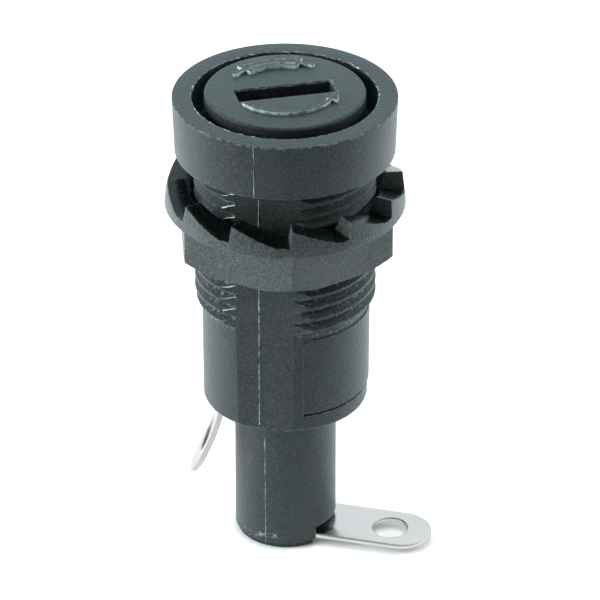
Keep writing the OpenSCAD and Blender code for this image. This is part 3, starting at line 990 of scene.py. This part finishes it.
def gate_scar():
    """Torn chips that the moulding's gate left, low on the tube."""
    draw = random.Random(SCAR_SEED)
    shells = []
    for _ in range(SCAR_CHIPS):
        share = draw.random() ** CHIP_CROWDING
        angle = SCAR_START + (SCAR_END - SCAR_START) * share
        middle = SCAR_LOW + SCAR_RISE * share + draw.uniform(*SCAR_SPREAD)
        size = draw.uniform(*SCAR_SIZE)
        lean = draw.uniform(0, tau)
        sides = draw.randint(*CHIP_SIDES)
        points = []
        for corner in range(sides):
            turn = lean + tau * corner / sides
            reach = size * draw.uniform(*CHIP_REACH)
            s, z = reach * cos(turn), CHIP_SQUAT * reach * sin(turn)
            points.append(on_round(TUBE_R - SCAR_SINK, angle + degrees(s / TUBE_R), middle + z)[0])
        peak = TUBE_R + draw.uniform(*SCAR_HEIGHT)
        points.append(on_round(peak, angle, middle + CHIP_PEAK * size)[0])
        faces = [(corner, (corner + 1) % sides, sides) for corner in range(sides)]
        faces.append(tuple(range(sides)))
        shells.append((points, faces))
    return gather("gate_scar", shells, CHIP_TURN)


dress(holder_shell(), "holder", "moulded_black", body_black, "holder_body")
dress(label_panel(), "holder", "moulded_black", body_black)
dress(rim_flash("rim_flash", RECESS_R + BEZEL_EDGE, seed=41.7), "holder", "moulded_black", seam_flash)
# Parting lines: name, share of the height kept, seeds at front and back, and stations at the front
front_seams = (
    ("bezel_seam", 0.95, (1.3, 7.7), [
        on_round(BEZEL_R, BEZEL_SEAM, BEZEL_H - BEZEL_EDGE),
        on_round(BEZEL_R - BEZEL_DRAFT, BEZEL_SEAM, BEZEL_EDGE),
    ]),
    ("flat_seam", 0.55, (3.1, 12.9), [
        (Vector((FLAT_SEAM, -FLAT, z)), Vector((0, -1, 0)))
        for z in (-SEAM_SINK, BARREL_LOW + BARREL_EDGE)
    ]),
    ("tube_seam", 0.55, (5.2, 21.4), [
        on_round(TUBE_R, TUBE_SEAM - JOG_TURN, BARREL_LOW - JOG_TOP),
        on_round(TUBE_R, TUBE_SEAM, BARREL_LOW - JOG_LOW),
        on_round(TUBE_R, TUBE_SEAM + TUBE_SEAM_LEAN, TUBE_LOW + FOOT_H),
    ]),
)
half_turn = Vector((-1, -1, 1))
for name, level, seeds, front in front_seams:
    back = [(place * half_turn, out * half_turn) for place, out in front]
    for end, stations, seed in zip(("front", "back"), (front, back), seeds):
        dress(seam(f"{name}_{end}", stations, seed, level), "holder", "moulded_black", seam_flash)
# Pale ridges where the flats cut the thread, coloured as a painted glint
dress(thread_flash_glints("thread_flash_front", -1, seed=31.5), "holder", "moulded_black", flash_and_glint)
dress(thread_flash_glints("thread_flash_back", 1, seed=61.5), "holder", "moulded_black", flash_and_glint)
dress(gate_scar(), "holder", "moulded_black", scar_flash)


# Solder tags: stamped from tinned strip

def base_tag():
    """Base tag: a round foot under the tube and a tongue with a hole for the wire."""
    half = TAG_W / 2
    foot_r = POCKET_R - TAG_GAP
    meet = degrees(asin(half / foot_r))
    outline = arc(0, 0, foot_r, meet, 360 - meet) + arc(TAG_REACH, 0, half, -90, 90)
    holes = [circle(0, 0, RIVET_HOLE_R), circle(TAG_REACH - TAG_HOLE_BACK, 0, TAG_HOLE_R)]
    tag = plate("base_tag", [outline, *holes], TAG_T, TAG_EDGE)
    return bend(tag, [], lambda x, y, w: (x, y, w + base_low.z + TAG_T / 2))


def side_path():
    """Middle line of the side tag in x and z: from its spring tongue down to its flared end."""
    path = rounded([
        (-(TONGUE_X + SIDE_X) / 2, SIDE_SLOT_TOP, 0),
        (-TONGUE_X, TONGUE_TOUCH, TONGUE_R),
        (-SIDE_X, (CARRIER_BORE_LOW + CLIP_LOW) / 2, SIDE_KNEE_R),
        (-SIDE_X, BARREL_LOW - SIDE_DROP, 0),
    ])
    heading = 0.0
    bends = (SIDE_BEND, SIDE_BEND_R, BEND_STEPS), (SIDE_FLARE, SIDE_FLARE_R, FLARE_STEPS)
    for turn, radius, steps in bends:
        step = radians(turn) / steps
        for _ in range(steps):
            middle = heading + step / 2
            path.append(path[-1] - radius * step * Vector((sin(middle), cos(middle))))
            heading += step
    return np.array(path)


def side_tag():
    """Side tag: a strip in the barrel's wall, with a spring tongue above and a flared end below."""
    path = side_path()
    runs = np.diff(path, axis=0)
    steps = np.linalg.norm(runs, axis=1)
    lengths = np.concatenate([[0], np.cumsum(steps)])
    along = runs / steps[:, None]
    along = np.vstack([along[:1], along[:-1] + along[1:], along[-1:]])
    along /= np.linalg.norm(along, axis=1)[:, None]
    shoulder = float(np.interp(-CARRIER_BORE_LOW, -path[:, 1], lengths))
    neck = float(np.interp(-BARREL_LOW, -path[:, 1], lengths))
    end = float(lengths[-1])
    half, tongue = TAG_W / 2, TONGUE_W / 2
    outline = rounded([
        (0, tongue, TONGUE_R), (0, -tongue, TONGUE_R),
        (shoulder, -tongue, NECK_R), (shoulder, -half, NECK_R),
    ])
    outline += arc(end - half, 0, half, -90, 90)
    outline += rounded([
        (end - half, half, 0), (shoulder, half, NECK_R), (shoulder, tongue, NECK_R), (0, tongue, 0),
    ])[1:-1]
    hole = circle(end - half - TAG_HOLE_BACK, 0, TAG_HOLE_R)

    def place(u, v, w):
        x, z, tx, tz = (float(np.interp(u, lengths, line)) for line in (*path.T, *along.T))
        twist = radians(SIDE_TWIST) * float(np.interp(u, [neck, end], [0, 1]))
        v, w = v * cos(twist) + w * sin(twist), w * cos(twist) - v * sin(twist)
        (x, y), = turned([(x + w * tz, v)], SIDE_ANGLE)
        return x, y, z - w * tx

    return bend(plate("side_tag", [outline, hole], TAG_T, TAG_EDGE), lengths[1:-1], place)


dress(base_tag(), "holder", "tinned_brass", bright_tin, "base_terminal", edge=cut_tin)
dress(side_tag(), "holder", "tinned_brass", bright_tin, "side_terminal", edge=cut_tin)


# Nut: columns follow the ratchet teeth round, rings go round its section

def nut_columns(radius_at):
    """Angle and height of each column round the crown: each tooth's ramp, then the land up to the next."""
    pitch = tau / TOOTH_COUNT
    ramp_len = CROWN_R * TOOTH_RAMP * pitch
    rake = TOOTH_H * tan(radians(TOOTH_RAKE))
    land = NUT_TIP - TOOTH_H
    last = pitch - asin(rake / radius_at(land))
    columns = []
    for tooth in range(TOOTH_COUNT):
        start = tooth * pitch
        for step in range(RAMP_STEPS + 1):
            share = step / RAMP_STEPS
            z = NUT_TIP - TOOTH_H * share
            turn = asin(min(1.0, ramp_len * share / radius_at(z)))
            columns.append((start + min(turn, last), z))
        foot = min(asin(min(1.0, ramp_len / radius_at(land))), last)
        for step in range(1, LAND_STEPS + 1):
            columns.append((start + foot + (last - foot) * step / LAND_STEPS, land))
    return columns


def ratchet_nut():
    """Hexagon nut with a round, slightly tapered crown of ratchet teeth and a countersunk bore."""
    crown_low = NUT_TIP - CROWN_H
    land = NUT_TIP - TOOTH_H
    sixth = tau / 6
    low_r = NUT_AF / 2 / cos(sixth / 2) - NUT_BEVEL_W

    def crown_radius(z):
        return CROWN_R - CROWN_TAPER * (z - crown_low) / CROWN_H

    def bore_radius(z):
        return NUT_BORE_R + SINK_REACH * max(0.0, 1 - (NUT_TIP - z) / (TOOTH_H + SINK_BELOW))

    def hex_radius(angle):
        return NUT_AF / 2 / cos(angle % sixth - sixth / 2)

    def bevel_top(angle):
        return NUT_LOW + max(0.0, hex_radius(angle) - low_r) * NUT_BEVEL_H / NUT_BEVEL_W

    crown = nut_columns(crown_radius)
    bore = nut_columns(bore_radius)
    rings = [
        [(NUT_BORE_R, a, NUT_LOW) for a, _ in crown],
        [(min(hex_radius(a), low_r), a, NUT_LOW) for a, _ in crown],
        [(hex_radius(a), a, bevel_top(a)) for a, _ in crown],
        [(hex_radius(a), a, crown_low) for a, _ in crown],
        [(CROWN_R, a, crown_low) for a, _ in crown],
        [(crown_radius(land), a, land) for a, _ in crown],
        [(crown_radius(z), a, z) for a, z in crown],
        [(bore_radius(z), a, z) for a, z in bore],
        [(bore_radius(land), a, land) for a, _ in bore],
        [(NUT_BORE_R, a, land - SINK_BELOW) for a, _ in bore],
    ]
    turn = radians(NUT_ANGLE)
    points = [spot(r, a + turn, z) for ring in rings for r, a, z in ring]
    nut = soften(solid("ratchet_nut", points, loft_faces(len(rings), len(crown))), NUT_EDGE)
    # Upward faces high on the crown get the near-black material, which paints the shade under the bezel
    for face in nut.data.polygons:
        polished = face.normal.z > SHADED_GLOSS_RISE and face.center.z > (crown_low + SHADED_GLOSS_ABOVE) * MM
        face.material_index = 1 if polished else 0
    return nut


dress(ratchet_nut(), "nut", "moulded_nut_black", nut_black, "hex_nut", edge=nut_gloss_painted_shade)


# Carrier: knob with its slot, skirt and lugs, and the raised marks on its top

def carrier_knob():
    """Slotted knob with a skirt and two bayonet lugs."""
    knob = revolve("carrier_head", [
        (0, CORE_LOW + RIVET_GRIP, 0), (RIVET_HOLE_R, CORE_LOW + RIVET_GRIP, 0),
        (RIVET_HOLE_R, CORE_LOW, 0),
        (SKIRT_BORE_R, CORE_LOW, SKIRT_EDGE), (SKIRT_BORE_R, SKIRT_LOW, SKIRT_EDGE),
        (SKIRT_R, SKIRT_LOW, SKIRT_EDGE), (SKIRT_R, HEAD_LOW, INNER_EDGE),
        (KNOB_R, HEAD_LOW, HEAD_EDGE), (KNOB_R, KNOB_TOP, KNOB_EDGE), (0, KNOB_TOP, 0),
    ], KNOB_COLUMNS)
    wall = (SKIRT_BORE_R + SKIRT_R) / 2
    lugs = []
    for middle in (0, 180):
        lug = prism("lug", sector_outline(wall, LUG_R, middle, LUG_ANGLE), LUG_LOW, LUG_TOP)
        lugs.append(soften(lug, LUG_EDGE))
    combine(knob, "UNION", *lugs)
    return combine(knob, "DIFFERENCE", slot_cutter())


def slot_cutter():
    """Screwdriver slot, widened at its mouth by a chamfer."""
    levels = (
        (0.0, KNOB_TOP - SLOT_DEPTH),
        (0.0, KNOB_TOP - SLOT_CHAMFER),
        (SLOT_CHAMFER * 2, KNOB_TOP + SLOT_CHAMFER),
    )
    points = []
    for grow, z in levels:
        length, half = SLOT_LEN / 2 + grow, SLOT_W / 2 + grow
        points += [(x, y, z) for x, y in turned(rectangle(-length, length, half), SLOT_ANGLE)]
    return solid("slot", points, loft_faces(len(levels), 4, closed=False))


def knob_mark(name, *outlines):
    """Raised mark on the knob's top, from outlines of (angle in degrees, radius, corner radius)."""
    flat = [rounded([(radians(a) * MARK_R, r, c) for a, r, c in outline]) for outline in outlines]
    start = min(u for u, _ in flat[0])
    end = max(u for u, _ in flat[0])

    def place(u, v, w):
        return spot(v, u / MARK_R, KNOB_TOP + w + (MARK_H - MARK_SINK) / 2)

    steps = ceil(degrees((end - start) / MARK_R) / ARC_TURN)
    return bend(plate(name, flat, MARK_H + MARK_SINK, MARK_EDGE), between(start, end, steps), place)


def turn_arrow():
    """Arrow that shows which way the knob is turned."""
    low, high = MARK_R - MARK_W / 2, MARK_R + MARK_W / 2
    tail, neck, tip = -129.0, -12.4, 11.0
    inner_barb, outer_barb, tip_drop = 0.2, 0.44, 0.03
    return knob_mark("turn_arrow", [
        (tail, low, MARK_CORNER), (neck, low, 0), (neck, low - inner_barb, MARK_CORNER),
        (tip, high - tip_drop, MARK_CORNER), (neck, high + outer_barb, MARK_CORNER), (neck, high, 0),
        (tail, high, MARK_CORNER),
    ])


def fuse_symbol():
    """Sign for a fuse: a long box with a line through it."""
    middle, reach, half = 4.0, 0.7, MARK_W / 2
    start, end, lead, corner = 90.0, 150.0, 15.0, 0.08
    side = degrees(MARK_W / MARK_R)
    lower = [
        (start - lead, -half, MARK_CORNER), (start, -half, 0), (start, -reach, corner),
        (end, -reach, corner), (end, -half, 0), (end + lead, -half, MARK_CORNER),
    ]
    upper = [(a, -r, c) for a, r, c in reversed(lower)]
    frame_line = [(a, middle + r, c) for a, r, c in lower + upper]
    windows = [
        [(start + side, a, 0), (end - side, a, 0), (end - side, b, 0), (start + side, b, 0)]
        for a, b in ((middle - reach + MARK_W, middle - half), (middle + half, middle + reach - MARK_W))
    ]
    return knob_mark("fuse_symbol", frame_line, *windows)


dress(carrier_knob(), "carrier", "moulded_knob_black", knob_black, "carrier_knob")
# The marks' sides take the pale material, a painted highlight
dress(turn_arrow(), "carrier", "moulded_knob_black", knob_black, edge=mark_side_highlight)
dress(fuse_symbol(), "carrier", "moulded_knob_black", knob_black, edge=mark_side_highlight)


# Contacts, rivets and spring

def carrier_clip():
    """Slit sleeve that grips the fuse's upper cap."""
    clip = revolve("carrier_sleeve", [
        (RIVET_HOLE_R, CLIP_TOP, 0), (CLIP_R, CLIP_TOP, CLIP_ROUND), (CLIP_R, CLIP_LOW, CLIP_EDGE),
        (CLIP_BORE_R + CLIP_LIP, CLIP_LOW, CLIP_LIP_EDGE), (CLIP_BORE_R, CLIP_LOW + CLIP_LIP, INNER_EDGE),
        (CLIP_BORE_R, CLIP_TOP - CLIP_BASE, INNER_EDGE), (RIVET_HOLE_R, CLIP_TOP - CLIP_BASE, 0),
    ])
    slit = rectangle(-2 * CLIP_R, 2 * CLIP_R, CLIP_SLIT / 2)
    slits = [prism("slit", turned(slit, a), CLIP_LOW - CUT_PAST, CLIP_SLIT_TOP) for a in (45, 135)]
    return combine(clip, "DIFFERENCE", *slits)


def rivet_head(low, rim, edge):
    """Corners of a rivet's domed head, from its middle to its rim."""
    return [(0, low, 0), (RIVET_HEAD_R - RIVET_DOME, low, RIVET_DOME_R), (RIVET_HEAD_R, low + rim, edge)]


def clip_rivet():
    """Rivet that holds the clip under the knob's core."""
    low = CLIP_TOP - CLIP_BASE - RIVET_HEAD_T
    top = CORE_LOW + RIVET_GRIP - FREE_GAP
    return revolve("clip_fastening", rivet_head(low, rim=0.18, edge=0.06) + [
        (RIVET_HEAD_R, low + RIVET_HEAD_T, 0), (RIVET_R, low + RIVET_HEAD_T, 0),
        (RIVET_R, top, RIVET_TIP_EDGE), (0, top, 0),
    ], RIVET_COLUMNS)


def base_rivet():
    """Rivet through the base tag and the tube's floor, with the spring's seat above."""
    seat_low = SEAT_TOP - SEAT_T
    return revolve("base_fastening", rivet_head(RIVET_LOW, rim=0.16, edge=0.05) + [
        (RIVET_HEAD_R, base_low.z, 0), (RIVET_R, base_low.z, 0), (RIVET_R, seat_low, 0),
        (SEAT_R, seat_low, SEAT_EDGE), (SEAT_R, SEAT_TOP, SEAT_EDGE), (0, SEAT_TOP, 0),
    ], RIVET_COLUMNS)


def contact_plunger():
    """Contact under the fuse, dished where the cap rests on it."""
    flange_low = PLUNGER_TOP - PLUNGER_FLANGE
    dish = PLUNGER_TOP - DISH_DEPTH
    return revolve("plunger", [
        (0, PLUNGER_LOW, 0), (GUIDE_R, PLUNGER_LOW, GUIDE_ROUND), (GUIDE_R, flange_low, GUIDE_FILLET),
        (PLUNGER_R, flange_low, FLANGE_EDGE), (PLUNGER_R, PLUNGER_TOP, PLUNGER_EDGE),
        (DISH_R, PLUNGER_TOP, PLUNGER_EDGE), (DISH_FLOOR_R, dish, PLUNGER_EDGE), (0, dish, 0),
    ])


def contact_spring():
    """Coil spring between the rivet's seat and the plunger."""
    low = SEAT_TOP + SPRING_WIRE + FREE_GAP
    high = PLUNGER_TOP - PLUNGER_FLANGE - SPRING_WIRE - FREE_GAP
    count = SPRING_TURNS * COIL_STEPS
    shares = [i / count for i in range(count + 1)]
    path = [spot(SPRING_R, tau * SPRING_TURNS * s, low + (high - low) * s) for s in shares]
    return sweep("coil_spring", path, SPRING_WIRE, SPRING_SIDES)


dress(carrier_clip(), "carrier", "tinned_brass", bright_tin, "carrier_clip")
dress(clip_rivet(), "carrier", "nickel_plate", nickel, "clip_rivet")
dress(base_rivet(), "holder", "nickel_plate", nickel, "base_rivet")
dress(contact_plunger(), "plunger", "plunger_brass", turned_brass, "contact_plunger")
coil = dress(contact_spring(), "holder", "spring_steel", spring_wire, "contact_spring")
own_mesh(coil)


# Fuse: caps, glass, solder and wire

def fuse_end(name, end, way, corners, columns=ROUND_COLUMNS):
    """Turned piece at one end of the fuse, from corners with their height measured from that end."""
    return revolve(name, [(r, end + way * z, corner) for r, z, corner in corners], columns)


def fuse_cap(name, end, way):
    """Pressed cap with a rounded end, open towards the other cap."""
    inner = CAP_R - CAP_T
    return fuse_end(name, end, way, [
        (0, 0, 0), (CAP_R, 0, CAP_ROUND), (CAP_R, CAP_LEN, INNER_EDGE),
        (inner, CAP_LEN, CAP_RIM_EDGE), (inner, CAP_T, INNER_EDGE), (0, CAP_T, 0),
    ])


def fuse_tube():
    """Glass tube with fire-polished ends."""
    low, high = FUSE_LOW + CAP_T, FUSE_TOP - CAP_T
    corners = ((GLASS_BORE_R, low), (GLASS_R, low), (GLASS_R, high), (GLASS_BORE_R, high))
    return revolve("glass_tube", [(r, z, GLASS_EDGE) for r, z in corners])


def solder_drop(name, end, way):
    """Solder that has run into a cap, drawn up round the wire."""
    corners = [(r, share * SOLDER_H, 0) for r, share in ((0, 0), (SOLDER_R, 0), *SOLDER_FORM)]
    return fuse_end(name, end, way, corners, SOLDER_COLUMNS)


def element():
    """Fuse wire, slightly bowed between its solder drops."""
    low, high = FUSE_LOW + CAP_T + SOLDER_H / 2, FUSE_TOP - CAP_T - SOLDER_H / 2
    path = []
    for i in range(WIRE_STEPS + 1):
        share = i / WIRE_STEPS
        bow = WIRE_BOW * sin(pi * share) * sin(WIRE_WAVES * pi * share + WIRE_PHASE)
        path.append(Vector((bow, WIRE_SKEW * bow, low + (high - low) * share)))
    return sweep("element", path, WIRE_R, WIRE_SIDES)


dress(fuse_tube(), "fuse", "fuse_glass", glass, "fuse_glass")
dress(fuse_cap("cap_upper", FUSE_TOP, -1), "fuse", "nickel_plate", nickel, "fuse_cap_upper")
dress(fuse_cap("cap_lower", FUSE_LOW, 1), "fuse", "nickel_plate", nickel, "fuse_cap_lower")
dress(element(), "fuse", "fuse_wire", element_wire, "fuse_wire")
dress(solder_drop("solder_lower", FUSE_LOW + CAP_T, 1), "fuse", "solder", dull_solder, "fuse_solder")
dress(solder_drop("solder_upper", FUSE_TOP - CAP_T, -1), "fuse", "solder", dull_solder)


# Stage, light and camera

CAMERA_AZIMUTH = 15.0
CAMERA_ELEVATION = 27.7
CAMERA_DISTANCE = 340.0
FOCAL_PX = 4981.0
FRAME_PX = 600.0
TOP_PX = (285.3, 94.7)  # where the photograph shows the centre of the bezel's top
SENSOR = 36.0
NEAREST = 10.0
FLOOR_SIZE = 4000.0
FLOOR_FADE = (-20.0, 45.0)  # between these the floor gets dimmer in mirrors, towards the camera
FLOOR_TONE = 0.80
FLOOR_MIRROR_TONE = 0.15
CONTACT = 0.65  # reach of the painted contact shadow where a piece touches the table
CONTACT_SAMPLES = 12
STUDIO_TINT = (0.91, 0.975, 1.0)
STUDIO_DIM = (0.0, 0.9)  # between these the studio gets darker towards the camera
STUDIO_ABOVE = (0.1, 0.7)  # and between these towards the ceiling
WHITE = (1.0, 1.0, 1.0)
COOL_LIGHT = (0.86, 0.97, 1.0)
TOP_LIGHT = (0.95, 1.0, 1.0)
LAMP_SIZE = (340.0, 220.0)
TOP_LAMP_SIZE = (400.0, 400.0)
MIRRORS = ("Is Glossy Ray", "Is Transmission Ray")


def direction(azimuth, elevation):
    """Unit vector from the object towards a place, by the azimuth and elevation of a view."""
    a, e = radians(azimuth), radians(elevation)
    return Vector((sin(a) * cos(e), -cos(a) * cos(e), sin(e)))


def aimed(name, data, place, aim):
    """Camera or lamp at a place, aimed at another."""
    obj = add_object(name, data)
    obj.location = place * MM
    obj.rotation_euler = (aim - place).to_track_quat("-Z", "Y").to_euler()
    return obj


def add_camera():
    """The photographer's camera, fitted to the ellipse of the bezel's top."""
    top = Vector((0, 0, BEZEL_H))
    back = direction(CAMERA_AZIMUTH, CAMERA_ELEVATION)
    right = UP.cross(back).normalized()
    up = back.cross(right)
    per_px = CAMERA_DISTANCE / FOCAL_PX
    aim = top + ((FRAME_PX / 2 - TOP_PX[0]) * right - (FRAME_PX / 2 - TOP_PX[1]) * up) * per_px
    data = bpy.data.cameras.new("camera")
    data.sensor_width = SENSOR
    data.lens = SENSOR * FOCAL_PX / FRAME_PX
    data.clip_start = NEAREST * MM
    bpy.context.scene.camera = aimed("camera", data, top + back * CAMERA_DISTANCE, aim)


def add_softbox(name, azimuth, elevation, distance, size, power, colour):
    """Soft lamp that does not show in mirrors."""
    data = bpy.data.lights.new(name, "AREA")
    data.shape = "RECTANGLE"
    data.size = size[0] * MM
    data.size_y = size[1] * MM
    data.energy = power
    data.color = colour
    middle = UP * (BEZEL_H + TUBE_LOW) / 2
    light = aimed(name, data, middle + direction(azimuth, elevation) * distance, middle)
    light.visible_glossy = False


def add_world(ambient, front, above):
    """White studio that is darker on the photographer's side and, for soft light, overhead."""
    world = bpy.data.worlds.new("studio")
    bpy.context.scene.world = world
    world.use_nodes = True
    nodes = Nodes(world.node_tree)
    background = nodes.tree.nodes["Background"]
    nodes.feed(STUDIO_TINT, background.inputs["Color"])
    way = nodes.node("TexCoord").outputs["Generated"]
    towards = nodes.vector("DOT_PRODUCT", way, direction(CAMERA_AZIMUTH, 0))
    dim = nodes.ramp(towards, *STUDIO_DIM, 1.0, front)
    overhead = nodes.ramp(nodes.vector("DOT_PRODUCT", way, UP), *STUDIO_ABOVE, 1.0, above)
    soft = nodes.blend(nodes.times(dim, overhead), 0.0, ambient)
    unseen = nodes.blend(nodes.seen(*MIRRORS), soft, dim)
    nodes.feed(nodes.blend(nodes.seen("Is Camera Ray"), unseen, 1.0), background.inputs["Strength"])


def add_floor(glow, front, back):
    """White table that looks dimmer in mirrors on the photographer's side than behind the object."""
    bpy.ops.mesh.primitive_plane_add(size=FLOOR_SIZE * MM, location=UP * TUBE_LOW * MM)
    floor = bpy.context.object
    floor.name = "floor"
    shader = Shader("pale_floor", Roughness=0.9, Specular_IOR_Level=0.1, Emission_Color=WHITE)
    towards = shader.vector("DOT_PRODUCT", shader.place, direction(CAMERA_AZIMUTH, 0))
    fade = shader.ramp(towards, *FLOOR_FADE, back, front, "LINEAR")
    mirrored = shader.times(fade, shader.seen(*MIRRORS))
    strength = shader.blend(shader.seen("Is Camera Ray"), mirrored, glow)
    # Painted contact shadow: ambient occlusion darkens the floor's glow near the pieces
    contact = shader.node("AmbientOcclusion", {"Distance": CONTACT * MM}, samples=CONTACT_SAMPLES)
    open_share = shader.times(contact.outputs["AO"], contact.outputs["AO"])
    shader.set(
        Base_Color=shader.blend(shader.seen("Is Glossy Ray"), FLOOR_TONE, FLOOR_MIRROR_TONE),
        Emission_Strength=shader.times(strength, open_share),
    )
    floor.data.materials.append(shader.material)


add_camera()
add_floor(glow=0.66, front=0.42, back=1.25)
add_world(ambient=0.46, front=0.26, above=0.35)
add_softbox("left_softbox", -68.0, 19.0, 450.0, LAMP_SIZE, 4.2, COOL_LIGHT)
add_softbox("right_softbox", 122.0, 19.0, 450.0, LAMP_SIZE, 2.3, COOL_LIGHT)
add_softbox("top_softbox", 195.0, 72.0, 500.0, TOP_LAMP_SIZE, 0.35, TOP_LIGHT)
bpy.context.scene.view_settings.view_transform = "Standard"
